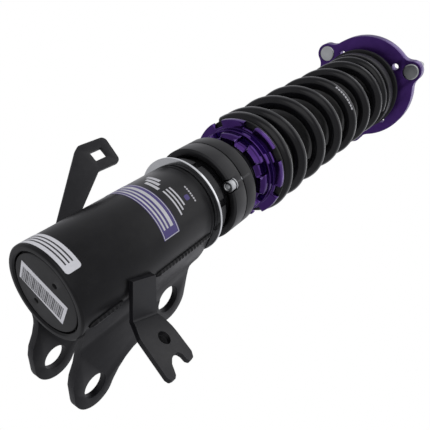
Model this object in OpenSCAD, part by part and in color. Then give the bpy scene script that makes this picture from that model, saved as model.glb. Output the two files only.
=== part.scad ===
// Front suspension coilover: a threaded shock body screwed into a knuckle bracket, a coil spring
// between an adjustable perch and an upper seat, and a studded top plate with a swivel bearing.
// Axis +Z points up the strut. The origin is the centre of the top plate's seating face.
// The knuckle ears stick out along +X and their bolts run along Y. All lengths are in mm.

/* [View] */
// Which piece to show

/* [Knuckle bracket] */
// Outer radius of the bracket tube
tube_r = 31; // [28:0.5:36]
// Length of the bracket tube
tube_len = 117.6; // [100:0.1:140]
// Half of the gap between the knuckle ears
ear_gap = 16.1; // [12:0.1:20]
// Thickness of the ear plates
ear_t = 5; // [4:0.5:6]
// Radius of the lower knuckle bolt hole
low_bolt_r = 8.5; // [6:0.1:9]
// Radius of the upper knuckle bolt hole
up_bolt_r = 10; // [6:0.1:11]
// Thickness of the hose and sensor brackets
sheet_t = 3; // [2:0.5:4]

/* [Shock body and rings] */
// Thread radius of the shock body
body_r = 26.5; // [24:0.1:28]
// Bore radius of the shock body
bore_r = 22; // [20:0.1:23]
// Outer radius of the lock collar
collar_r = 36.1; // [34:0.1:38]
// Outer radius of the jam nut
jam_r = 31.5; // [30:0.1:34]
// Outer radius of the thin ring on the tube
ring_r = 36.1; // [34:0.1:38]

/* [Spring and perch] */
// Radius of the spring wire
wire_r = 6; // [5:0.25:7]
// Mean radius of the coils
coil_r = 37.4; // [34:0.1:40]
// Rise of the free coils for one turn
coil_pitch = 35.2; // [28:0.1:38]
// Radius of the spring perch
perch_r = 41.1; // [38:0.1:44]
// Radius of the ring that locks the perch
lock_r = 33.6; // [32:0.1:36]
// Spanner notches in each perch ring
notches = 8; // [6:1:10]

/* [Top mount] */
// Radius of the round part of the top plate
plate_r = 58; // [54:0.5:62]
// Thickness of the top plate
plate_t = 10; // [8:0.5:14]
// Radius of the stud circle
stud_pcr = 58.5; // [52:0.5:64]
// Radius of the studs
stud_r = 4; // [4:0.5:5]
// Radius of the damper rod
rod_r = 11; // [8:0.5:12.5]

/* [Hidden] */
plate_z = 460;                      // underside of the top plate above the tube's lower end
plate_top = plate_z + plate_t;      // height of the origin above the tube's lower end
fit = 0.06;                         // radial clearance on the body thread
low_bolt = [69.1, 8.6];             // x and z of the knuckle bolts
up_bolt = [48.6, 78.4];
crease_x = 32.4;                    // bend between an ear and the strip welded to the tube
strip_a = 67.6;                     // angle where that strip meets the tube
coil_low = 205.3;                   // heights of the centre of the wire at both closed ends
coil_high = 420;
coil_t0 = 1.04;                     // turns where the free coils start
coil_t1 = coil_t0 + (coil_high - coil_low) / coil_pitch;
seat_z = coil_high + wire_r;
knurl = 0.3;                        // how far the studs' pressed shoulders stand proud
screw_a = -121.5;                   // position of the pinch screw
screw_r = 33.3;
sensor_a = 127;                     // direction in which the sensor bracket sticks out
bend_a = 63.7;                      // bend of the hose bracket
bend_tilt = 22.7;
black = [0.06, 0.06, 0.065];
purple = [0.27, 0.16, 0.42];
steel = [0.72, 0.72, 0.7];
$fn = 96;

module from_tube() translate([0, 0, -plate_top]) children();

module ring(r_out, r_in, z0, z1) translate([0, 0, z0])
  difference() {
    cylinder(r = r_out, h = z1 - z0);
    translate([0, 0, -1]) cylinder(r = r_in, h = z1 - z0 + 2);
  }

// ring with bevelled outer edges: b0 below, b1 above
module bevel_ring(r_out, r_in, z0, z1, b0, b1) rotate_extrude()
  polygon([[r_in, z0], [r_out - b0, z0], [r_out, z0 + b0], [r_out, z1 - b1],
    [r_out - b1, z1], [r_in, z1]]);

module around(n, first = 0) for (i = [0:n - 1]) rotate([0, 0, first + i * 360 / n]) children();

// ---------- top mount ----------

module lobe(a) rotate(a) {
  reach = 72;  // centre of the blending radius of 14
  turn = acos((pow(reach, 2) + pow(stud_pcr, 2) - pow(25.5, 2)) / (2 * reach * stud_pcr));
  translate([stud_pcr, 0]) circle(r = 11.5);
  for (s = [-1, 1]) difference() {
    polygon([[0, 0], [stud_pcr, 0], reach * [cos(turn), s * sin(turn)]]);
    translate(reach * [cos(turn), s * sin(turn)]) circle(r = 14);
  }
}

module plate_outline() {
  circle(r = plate_r, $fn = 144);
  for (i = [0:2]) lobe(1.5 + 120 * i);
}

module top_mount_plate() color(purple) from_tube() difference() {
  translate([0, 0, plate_z]) linear_extrude(plate_t) plate_outline();
  translate([0, 0, plate_z - 1]) cylinder(r = 24, h = plate_t + 2);
  around(4, 47.8) translate([45, 0, plate_z - 1]) cylinder(r = 3.7, h = plate_t + 2, $fn = 32);
  around(3, 1.5) translate([stud_pcr, 0, plate_z - 1]) {
    cylinder(r = stud_r + knurl, h = plate_t + 2, $fn = 32);
    cylinder(r = 9.2, h = 3.4, $fn = 48);
  }
}

module mount_studs() color(steel) from_tube() around(3, 1.5)
  translate([stud_pcr, 0, plate_z - 0.4]) {
    cylinder(r = 8.9, h = 2.8, $fn = 48);
    cylinder(r = stud_r + knurl, h = plate_t + 0.4, $fn = 32);
    cylinder(r = stud_r, h = 38, $fn = 32);
  }

module bearing_housing() color(black) from_tube() rotate_extrude()
  polygon([[16.5, 456], [24, 456], [24, plate_top], [23.4, plate_top], [23.4, 478.3], [22.2, 479.5],
    [20.5, 479.5], [20.5, 477], [19, 477], [19, 458], [16.5, 458]]);

module bearing_race() color(steel) from_tube() difference() {
  translate([0, 0, 458]) cylinder(r = 19, h = 17);
  translate([0, 0, 467]) sphere(r = 15.06, $fn = 96);
  translate([0, 0, 450]) cylinder(r = 13.6, h = 40);
}

module snap_ring() color(steel) from_tube() translate([0, 0, 475.3]) difference() {
  cylinder(r = 19, h = 1.4);
  translate([0, 0, -1]) cylinder(r = 16.5, h = 4);
  translate([0, -3, -1]) cube([30, 6, 4]);
}

// ---------- rod side ----------

module swivel_ball() color(steel) from_tube() difference() {
  union() {
    intersection() {
      translate([0, 0, 467]) sphere(r = 15, $fn = 96);
      translate([0, 0, 457]) cylinder(r = 20, h = 20);
    }
    translate([0, 0, 470]) cylinder(r = 10, h = 12);
  }
  translate([0, 0, 450]) cylinder(r = 6, h = 60);
}

module upper_spring_seat() color(black) from_tube() rotate_extrude($fn = 128)
  polygon([[6, 441], [14, 441], [14, 424], [27, 424], [27, 414], [30.8, 416], [30.8, seat_z],
    [43.2, seat_z], [43.9, seat_z + 0.7], [43.9, 437.5], [42.9, 438.5], [40, 438.5], [40, 445.5],
    [45, 445.5], [45.7, 446.2], [45.7, 448.4], [45, 449], [17, 449], [13, 453], [13, 457], [6, 457]]);

module piston_rod() color(steel) from_tube() difference() {
  union() {
    translate([0, 0, 184]) cylinder(r = rod_r, h = 257, $fn = 64);
    translate([0, 0, 168]) cylinder(r = 7, h = 17, $fn = 48);
    translate([0, 0, 440]) cylinder(r = 6, h = 61, $fn = 48);
  }
  translate([0, 0, 496]) cylinder(r = 3, h = 10, $fn = 32);
}

module rod_nut() color(steel) from_tube() difference() {
  union() {
    translate([0, 0, 482]) cylinder(r = 12, h = 1.6);
    intersection() {
      translate([0, 0, 483.6]) cylinder(r = 11, h = 9, $fn = 6);
      translate([0, 0, 483.6]) cylinder(r1 = 12.4, r2 = 10.2, h = 9);
    }
  }
  translate([0, 0, 480]) cylinder(r = 6, h = 20, $fn = 48);
}

module adjuster_knob() color([0.55, 0.1, 0.12]) from_tube() difference() {
  union() {
    translate([0, 0, 497]) cylinder(r = 2.94, h = 5, $fn = 32);
    bevel_ring(5.6, 0, 501.4, 507, 0.4, 0.6);
  }
  around(18) translate([5.9, 0, 500]) cylinder(r = 0.55, h = 9, $fn = 16);
  translate([-6, -0.5, 506.2]) cube([12, 1, 2]);
}

boot_low = 214;
boot_high = 423.6;
boot_folds = 16;
boot_step = (boot_high - 12 - boot_low - 6) / boot_folds;
module dust_boot() color(black) from_tube() rotate_extrude($fn = 64)
  polygon(concat([[28.8, boot_low], [28.8, boot_low + 6]],
    [for (i = [0:boot_folds - 1]) each [[29.4, boot_low + 6 + (i + 0.5) * boot_step],
      [28.4, boot_low + 6 + (i + 1) * boot_step]]],
    [[26.4, boot_high - 10], [26.4, boot_high], [24.8, boot_high], [24.8, boot_high - 11]],
    [for (i = [boot_folds - 1:-1:0]) each [[28, boot_low + 6 + (i + 0.5) * boot_step],
      [27.1, boot_low + 6 + i * boot_step]]],
    [[27.1, boot_low]]));

module bump_stop() color([0.75, 0.68, 0.3]) from_tube() rotate_extrude($fn = 64)
  polygon([[rod_r + 0.3, 383], [15, 383], [18, 387], [18, 393], [15.5, 397], [18.5, 401],
    [18.5, 407], [16, 411], [19, 415], [19, 423.6], [13.9, 423.6], [13.9, 440.6],
    [rod_r + 0.3, 440.6]]);

module piston() color(steel) from_tube() difference() {
  bevel_ring(bore_r - 0.05, 7, 169, 184, 0.6, 0.6);
  around(6) translate([15, 0, 160]) cylinder(r = 2, h = 40, $fn = 24);
  ring(bore_r + 1, bore_r - 0.8, 174, 179);
}

// ---------- spring ----------

// height of the wire's centre after t turns, flat at both ends
function coil_z(t) = t < coil_t0 ? coil_low
  : t > coil_t1 ? coil_high : coil_low + (t - coil_t0) * coil_pitch;
function coil_zs(t) = (coil_z(t - 0.09) + coil_z(t - 0.05) + coil_z(t) + coil_z(t + 0.05)
  + coil_z(t + 0.09)) / 5;
spring_start = 0.39;
spring_end = coil_t1 + 0.64;
spring_cuts = 216;
spring_sides = 12;
module coil_spring() color(black) from_tube() {
  step = (spring_end - spring_start) / spring_cuts;
  points = [for (i = [0:spring_cuts]) let (t = spring_start + i * step, z = coil_zs(t),
      up = (coil_zs(t + 0.01) - coil_zs(t - 0.01)) / 0.02, run = 2 * PI * coil_r,
      f = sqrt(up * up + run * run))
    for (j = [0:spring_sides - 1]) let (b = (j + 0.5) * 360 / spring_sides,
        out = wire_r * cos(b), lift = wire_r * sin(b))
      [(coil_r + out) * cos(t * 360) + lift * up / f * sin(t * 360),
       (coil_r + out) * sin(t * 360) - lift * up / f * cos(t * 360), z + lift * run / f]];
  n = spring_sides;
  faces = concat([[for (j = [0:n - 1]) j]],
    [for (i = [0:spring_cuts - 1]) for (j = [0:n - 1])
      [i * n + j, (i + 1) * n + j, (i + 1) * n + (j + 1) % n, i * n + (j + 1) % n]],
    [[for (j = [n - 1:-1:0]) spring_cuts * n + j]]);
  polyhedron(points, faces, convexity = 10);
}

// ---------- shock body ----------

module shock_body() color(black) from_tube() difference() {
  bevel_ring(body_r, bore_r, 3.2, 262, 0.8, 0.8);
  translate([0, 0, 254]) cylinder(r = 23.4, h = 10);
}

module seal_head() color(black) from_tube() difference() {
  union() {
    ring(bore_r, rod_r + 0.03, 236, 254.2);
    ring(23.4, rod_r + 0.03, 254, 262);
    bevel_ring(24.2, rod_r + 0.03, 262, 267, 0, 1);
  }
  around(4, 20) translate([18, 0, 263]) cylinder(r = 2, h = 6, $fn = 24);
}

module base_cap() color(black) from_tube() difference() {
  union() {
    bevel_ring(25.5, 0, 0.8, 3.2, 0.6, 0);
    translate([0, 0, 3.2]) cylinder(r = bore_r, h = 9);
  }
  for (a = [-136, 44]) rotate([0, 0, a]) translate([15, 0, 0]) cylinder(r = 1.9, h = 6, $fn = 32);
}

module base_label() color([0.9, 0.9, 0.9]) from_tube() translate([0, 0, 0.65])
  linear_extrude(0.15) polygon([[-15.9, 15.9], [0, -18.8], [16.4, -11.2], [-1.4, 22]]);

module floating_piston() color(steel) from_tube() difference() {
  bevel_ring(bore_r - 0.05, 0, 60, 74, 0.8, 0.8);
  ring(bore_r + 1, bore_r - 1.2, 65, 69);
  translate([0, 0, 70]) cylinder(r = 13, h = 5);
}

module lock_collar() color(black) from_tube() difference() {
  rotate_extrude() polygon([[body_r + fit, 141], [31.6, 136.1], [collar_r - 1.2, 136.1],
    [collar_r, 137.3], [collar_r, 162.6], [collar_r - 1.4, 164], [29, 164], [body_r + fit, 161.6]]);
  // saw slit that lets the screw pinch the thread
  rotate([0, 0, screw_a]) translate([-8, -50, 149.9]) cube([60, 100, 1.2]);
  rotate([0, 0, screw_a]) translate([screw_r, 0, 0]) {
    translate([0, 0, 130]) cylinder(r = 5.3, h = 12, $fn = 48);
    translate([0, 0, 130]) cylinder(r = 2.8, h = 20.5, $fn = 32);
    translate([0, 0, 150.5]) cylinder(r = 2.55, h = 9.5, $fn = 32);
  }
  // blind holes for a pin spanner
  for (a = [30, 90]) rotate([0, 0, a]) translate([30, 0, 157]) rotate([0, 90, 0])
    cylinder(r = 2.5, h = 8, $fn = 32);
}

module pinch_washer() color(steel) from_tube() rotate([0, 0, screw_a])
  translate([screw_r, 0, 0]) ring(4.9, 2.56, 140.9, 141.7, $fn = 48);

module pinch_screw() color(steel) from_tube() rotate([0, 0, screw_a])
  translate([screw_r, 0, 0]) difference() {
    union() {
      bevel_ring(4.25, 0, 135.6, 140.6, 0.4, 0, $fn = 48);
      translate([0, 0, 140.5]) cylinder(r = 2.5, h = 17.5, $fn = 32);
    }
    translate([0, 0, 135]) cylinder(r = 2.3, h = 3.4, $fn = 6);
  }

module jam_nut() color(black) from_tube() difference() {
  bevel_ring(jam_r, body_r + fit, 120.4, 131.4, 0.3, 1);
  around(6, 13.3) translate([jam_r - 2.6, -2.6, 125]) cube([6, 5.2, 10]);
}

module tube_ring() color(steel) from_tube() bevel_ring(ring_r, body_r + fit, 117.9, 120.1, 0.2, 0.5);

// ---------- knuckle bracket ----------

module bracket_tube() color(black) from_tube() rotate_extrude($fn = 128)
  polygon([[body_r + fit, 1], [body_r + 1, 0], [tube_r - 1, 0], [tube_r, 1], [tube_r, 113.4],
    [tube_r - 0.5, 113.9], [tube_r - 0.5, 114.7], [tube_r, 115.2], [tube_r, tube_len - 0.5],
    [tube_r - 0.5, tube_len], [body_r + fit, tube_len]]);

// ear and strip seen along the strut, for the ear at -Y
module ear_section() {
  y0 = -ear_gap - ear_t;
  polygon([[34.1, -ear_gap], [33.2, -16.6], [13.5, -24], [tube_r * cos(strip_a), -tube_r * sin(strip_a)],
    [crease_x, y0], [90, y0], [90, -ear_gap]]);
}

// ear and strip seen along the bolts
module ear_outline() {
  translate(low_bolt) circle(r = 15.9);
  translate(up_bolt) circle(r = 18);
  polygon([[8, 3], [29.6, 2.6], [36.1, 1.5], [42.5, -0.9], [49.5, -5], [56, -6.9], [66, -7.1],
    [80.6, 19.7], [75.8, 23.5], [71, 28.5], [66.8, 35.3], [64.3, 42.1], [63.1, 49], [62.9, 56],
    [63.5, 63], [64.9, 70.2], [56, 94.9], [42.6, 98.6], [35.2, 101.4], [33.8, 103.4], [33.2, 112],
    [31.5, 115], [28, 116.5], [8, 116.5]]);
}

module ear_solid() difference() {
  intersection() {
    translate([0, 0, -20]) linear_extrude(150) ear_section();
    rotate([90, 0, 0]) linear_extrude(60) ear_outline();
  }
  translate([0, 0, -30]) cylinder(r = tube_r, h = 200, $fn = 128);
  translate([low_bolt[0], 0, low_bolt[1]]) rotate([90, 0, 0]) cylinder(r = low_bolt_r, h = 60, $fn = 64);
  translate([up_bolt[0], 0, up_bolt[1]]) rotate([90, 0, 0]) cylinder(r = up_bolt_r, h = 60, $fn = 64);
}

module near_ear() color(black) from_tube() ear_solid();

module far_ear() color(black) from_tube() mirror([0, 1, 0]) ear_solid();

module weld_bead() difference() {
  translate([(tube_r + 0.5) * cos(strip_a + 1.6), -(tube_r + 0.5) * sin(strip_a + 1.6), 5])
    cylinder(r = 2, h = 110, $fn = 24);
  translate([0, 0, -10]) cylinder(r = tube_r, h = 150, $fn = 128);
  translate([0, 0, -20]) linear_extrude(150) ear_section();
}

module ear_welds() color(black) from_tube() {
  difference() {
    weld_bead();
    translate([0, -60, 30]) cube([60, 60, 28]);  // the hose bracket is welded on here
  }
  mirror([0, 1, 0]) weld_bead();
}

// bent sheet that clips the brake hose, drawn in the frame of its bend line
hose_y = -34;
bend_len = 22.4;
hose_base = [[-27.7, -8.7], [-28.2, 11.6], [0, bend_len], [4, bend_len], [4, 0], [0, 0]];
hose_fork = [[-4, 0], [0, 0], [11.6, -3.7], [38.5, -3.9], [41, -2.4], [41.3, 1.2], [39.6, 3.4],
  [36.5, 4.7], [32.9, 6.1], [29.9, 9], [28, 13.5], [28.4, 17], [30.8, 18.6], [34.6, 19.2],
  [36.4, 21.6], [35.3, 25.2], [31.5, 27.4], [16.6, 27.1], [11.7, 26.6], [6.5, 25.2],
  [0, bend_len], [-4, bend_len]];

module hose_profile() polygon(concat([[-40, 0], [0, 0], 46 * [cos(bend_a), -sin(bend_a)],
    46 * [cos(bend_a), -sin(bend_a)] + sheet_t * [sin(bend_a), cos(bend_a)]],
  [for (i = [0:6]) let (a = 90 - bend_a + i * bend_a / 6) sheet_t * [cos(a), sin(a)]],
  [[-14, sheet_t], [-14.4, sheet_t + 0.4], [-40, sheet_t + 0.4]]));

module hose_bracket() color(black) from_tube() difference() {
  translate([25.9, hose_y, 32.2]) rotate([0, bend_tilt, 0]) {
    intersection() {
      translate([0, 0, -20]) linear_extrude(60) hose_profile();
      union() {
        translate([0, 10, 0]) rotate([90, 0, 0]) linear_extrude(20)
          polygon(hose_base);
        rotate([0, 0, -bend_a]) translate([0, 10, 0]) rotate([90, 0, 0]) linear_extrude(20)
          polygon(hose_fork);
      }
    }
    // round nut welded behind the hole
    rotate([0, 0, -bend_a]) translate([16.7, 8, 13.9]) rotate([90, 0, 0]) cylinder(r = 7.4, h = 6, $fn = 48);
  }
  translate([0, 0, -10]) cylinder(r = tube_r, h = 150, $fn = 128);
  translate([25.9, hose_y, 32.2]) rotate([0, bend_tilt, 0]) rotate([0, 0, -bend_a])
    translate([16.7, 10, 13.9]) rotate([90, 0, 0]) cylinder(r = 4.6, h = 20, $fn = 48);
}

// flat arm with a clip slot for the wheel speed sensor wire
sensor_arm = [[28, 28], [35.6, 36.9], [69.3, 76.4], [71, 79.4], [71.3, 83], [70.5, 99.2],
  [69.4, 102], [66.6, 103.1], [53, 101.4], [50.2, 100], [49.2, 97.2], [49.6, 82.5], [48.6, 79.4],
  [28, 46.6]];
module sensor_bracket() color(black) from_tube() difference() {
  rotate([0, 0, sensor_a]) translate([0, sheet_t / 2, 0]) rotate([90, 0, 0]) linear_extrude(sheet_t)
    difference() {
      polygon(sensor_arm);
      translate([56.4, 84.1]) square([7.3, 10.8]);
    }
  translate([0, 0, -10]) cylinder(r = tube_r, h = 150, $fn = 128);
}

module wrap(r, a0, a1, z0, z1, t) rotate([0, 0, a0]) rotate_extrude(angle = a1 - a0, $fn = 128)
  translate([r, z0]) square([t, z1 - z0]);

module end_label() color([0.9, 0.9, 0.9]) from_tube() wrap(tube_r, 103, 223, 2.3, 12.5, 0.15);

module band_label() color([0.35, 0.28, 0.55]) from_tube() wrap(tube_r, 101, 251, 67.8, 82.3, 0.15);

// ---------- spring perch ----------

module perch_washer() color(black) from_tube() ring(40.2, 31.3, 196.8, 199);

module spring_perch() color(purple) from_tube() difference() {
  rotate_extrude($fn = 128) polygon([[body_r + fit, 186.3], [34.4, 186.3], [34.4, 191.3],
    [perch_r, 191.3], [perch_r, 195.9], [perch_r - 0.5, 196.4], [30.9, 196.4], [30.9, 205],
    [29.9, 206], [body_r + fit, 206]]);
  around(notches, 12.4) translate([36.2, -5.3, 180]) cube([10, 10.6, 30]);
}

module perch_lock_ring() color(purple) from_tube() difference() {
  bevel_ring(lock_r, body_r + fit, 177, 186, 2.4, 0.4);
  around(notches, 20.9) translate([lock_r - 4, -5.2, 170]) cube([8, 10.4, 30]);
}

top_mount_plate();
mount_studs();
bearing_housing();
bearing_race();
snap_ring();
swivel_ball();
upper_spring_seat();
piston_rod();
rod_nut();
adjuster_knob();
dust_boot();
bump_stop();
piston();
coil_spring();
shock_body();
seal_head();
base_cap();
base_label();
floating_piston();
lock_collar();
pinch_washer();
pinch_screw();
jam_nut();
tube_ring();
bracket_tube();
near_ear();
far_ear();
ear_welds();
hose_bracket();
sensor_bracket();
end_label();
band_label();
perch_washer();
spring_perch();
perch_lock_ring();
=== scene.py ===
# Coilover scene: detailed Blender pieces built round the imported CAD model.
# Heights are in mm above the bracket tube's lower end, and Z_BASE moves them into the shared frame.
import math

import bmesh
import bpy
from mathutils import Matrix, Vector


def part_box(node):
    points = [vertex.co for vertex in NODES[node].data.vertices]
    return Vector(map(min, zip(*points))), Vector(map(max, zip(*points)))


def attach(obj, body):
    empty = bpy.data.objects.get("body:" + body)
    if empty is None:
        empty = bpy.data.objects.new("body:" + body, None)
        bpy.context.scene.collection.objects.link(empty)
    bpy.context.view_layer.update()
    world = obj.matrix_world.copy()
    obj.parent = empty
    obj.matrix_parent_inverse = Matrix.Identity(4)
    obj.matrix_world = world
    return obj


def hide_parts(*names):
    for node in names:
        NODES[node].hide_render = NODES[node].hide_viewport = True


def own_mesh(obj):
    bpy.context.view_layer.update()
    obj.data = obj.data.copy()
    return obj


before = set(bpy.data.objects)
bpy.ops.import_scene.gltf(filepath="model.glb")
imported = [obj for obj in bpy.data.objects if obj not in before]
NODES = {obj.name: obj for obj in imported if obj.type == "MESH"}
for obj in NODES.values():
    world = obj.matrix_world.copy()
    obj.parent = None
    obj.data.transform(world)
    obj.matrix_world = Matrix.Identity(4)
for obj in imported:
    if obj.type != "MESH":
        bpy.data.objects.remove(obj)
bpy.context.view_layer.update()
MM = 0.001
PLATE_TOP = 0.470  # metres from the bracket tube's lower end to the plate's upper face
Z_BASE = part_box("top_mount_plate")[1][2] - PLATE_TOP
TAU = 2 * math.pi
SMOOTH_DEG = 32  # a sharper edge stays hard
ALONG_Y = Matrix.Rotation(math.radians(90), 4, "X")  # turns an (x, z) outline upright
scene = bpy.context.scene


def rad(a):
    return math.radians(a)


def around(radius, degrees):
    """(x, y) of the point at that radius and angle."""
    return radius * math.cos(rad(degrees)), radius * math.sin(rad(degrees))


# ---------- materials ----------


def node(tree, kind, at=(0, 0), **values):
    n = tree.nodes.new(kind)
    n.location = at
    for k, v in values.items():
        if k in n.inputs:
            n.inputs[k].default_value = v
        else:
            setattr(n, k, v)
    return n


def ramp(tree, src, stops, at=(0, 0)):
    r = node(tree, "ShaderNodeValToRGB", at)
    el = r.color_ramp.elements
    while len(el) < len(stops):
        el.new(0.5)
    for e, (p, c) in zip(el, stops):
        e.position = p
        e.color = c if len(c) == 4 else (*c, 1)
    tree.links.new(src, r.inputs["Fac"])
    return r.outputs["Color"]


def grey(v):
    return (v, v, v, 1)


def mix(tree, fac, a, b, at=(0, 0), blend="MIX"):
    m = node(tree, "ShaderNodeMix", at, data_type="RGBA", blend_type=blend)
    for sock, v in ((m.inputs[0], fac), (m.inputs[6], a), (m.inputs[7], b)):
        if hasattr(v, "node"):
            tree.links.new(v, sock)
        elif isinstance(v, tuple):
            sock.default_value = (*v[:3], 1)
        else:
            sock.default_value = v
    return m.outputs[2]


def material(
    name,
    dark,
    light,
    rough=(0.3, 0.45),
    metallic=0.0,
    patch=60,
    grain=900,
    bump=0.1,
    bump_mm=0.05,
    edge=None,
    edge_mm=0.5,
    edge_fac=0.6,
    coat=0.0,
    coat_rough=0.2,
    specular=0.5,
    turned=0.0,
    dust=0.0,
):
    """A procedural surface: two tones in soft patches, uneven gloss, fine grain as bump,
    edges made lighter partly by wear and partly by a painted highlight, and turning marks."""
    m = bpy.data.materials.new(name)
    m.use_nodes = True
    t = m.node_tree
    bsdf = t.nodes["Principled BSDF"]
    link = t.links.new
    pos = node(t, "ShaderNodeTexCoord", (-1200, 0)).outputs["Object"]
    soft = node(t, "ShaderNodeTexNoise", (-950, 250), Scale=patch, Detail=4.0, Roughness=0.55)
    link(pos, soft.inputs["Vector"])
    fine = node(t, "ShaderNodeTexNoise", (-950, -150), Scale=grain, Detail=3.0, Roughness=0.6)
    link(pos, fine.inputs["Vector"])
    colour = ramp(t, soft.outputs["Fac"], [(0.3, (*dark, 1)), (0.7, (*light, 1))], (-650, 300))
    speck = ramp(t, fine.outputs["Fac"], [(0.62, grey(0)), (0.8, grey(1))], (-650, -50))
    fleck = tuple(min(1, c * 1.5 + 0.01) for c in light)
    colour = mix(t, scaled(t, speck, 0.25), colour, fleck, (-400, 300))
    if dust:
        top = node(t, "ShaderNodeTexNoise", (-950, 500), Scale=22.0, Detail=5.0, Roughness=0.7)
        link(pos, top.inputs["Vector"])
        veil = ramp(t, top.outputs["Fac"], [(0.45, grey(0)), (0.75, grey(dust))], (-650, 560))
        colour = mix(t, veil, colour, (0.35, 0.34, 0.32), (-250, 380))
    # painted highlight and wear: the bevel mask blends the edge colour onto sharp edges, for light caught on
    # edges as well as worn edges
    if edge:
        bev = node(t, "ShaderNodeBevel", (-950, 750), samples=4, Radius=edge_mm * MM)
        geo = node(t, "ShaderNodeNewGeometry", (-950, 900))
        dot = node(t, "ShaderNodeVectorMath", (-750, 800), operation="DOT_PRODUCT")
        link(bev.outputs["Normal"], dot.inputs[0])
        link(geo.outputs["Normal"], dot.inputs[1])
        edge_wear_and_highlight = ramp(t, dot.outputs["Value"], [(0.80, grey(edge_fac)), (0.985, grey(0))], (-550, 800))
        ragged = ramp(t, soft.outputs["Fac"], [(0.3, grey(0.35)), (0.65, grey(1))], (-550, 650))
        both = mix(t, 1.0, edge_wear_and_highlight, ragged, (-350, 760), "MULTIPLY")
        colour = mix(t, both, colour, edge, (-150, 420))
    link(colour, bsdf.inputs["Base Color"])
    gloss = ramp(t, soft.outputs["Fac"], [(0.25, grey(rough[0])), (0.75, grey(rough[1]))], (-400, 50))
    gloss = mix(t, scaled(t, fine.outputs["Fac"], 0.12), gloss, (0.75, 0.75, 0.75), (-200, 50))
    link(gloss, bsdf.inputs["Roughness"])
    height = fine.outputs["Fac"]
    if turned:
        stretch = node(t, "ShaderNodeMapping", (-1150, -450), Scale=(1.0, 1.0, 90.0))
        link(pos, stretch.inputs["Vector"])
        lines = node(t, "ShaderNodeTexNoise", (-950, -450), Scale=25.0, Detail=3.0)
        link(stretch.outputs["Vector"], lines.inputs["Vector"])
        height = mix(t, turned, fine.outputs["Fac"], lines.outputs["Fac"], (-500, -350))
    b = node(t, "ShaderNodeBump", (-200, -250), Strength=bump, Distance=bump_mm * MM)
    link(height, b.inputs["Height"])
    link(b.outputs["Normal"], bsdf.inputs["Normal"])
    bsdf.inputs["Metallic"].default_value = metallic
    bsdf.inputs["Specular IOR Level"].default_value = specular
    bsdf.inputs["Coat Weight"].default_value = coat
    bsdf.inputs["Coat Roughness"].default_value = coat_rough
    return m


def scaled(tree, src, factor):
    n = node(tree, "ShaderNodeMath", (-500, 150), operation="MULTIPLY")
    tree.links.new(src, n.inputs[0])
    n.inputs[1].default_value = factor
    return n.outputs[0]


# a lit copy of the purple, used as a painted highlight on the purple pieces' edges
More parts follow.
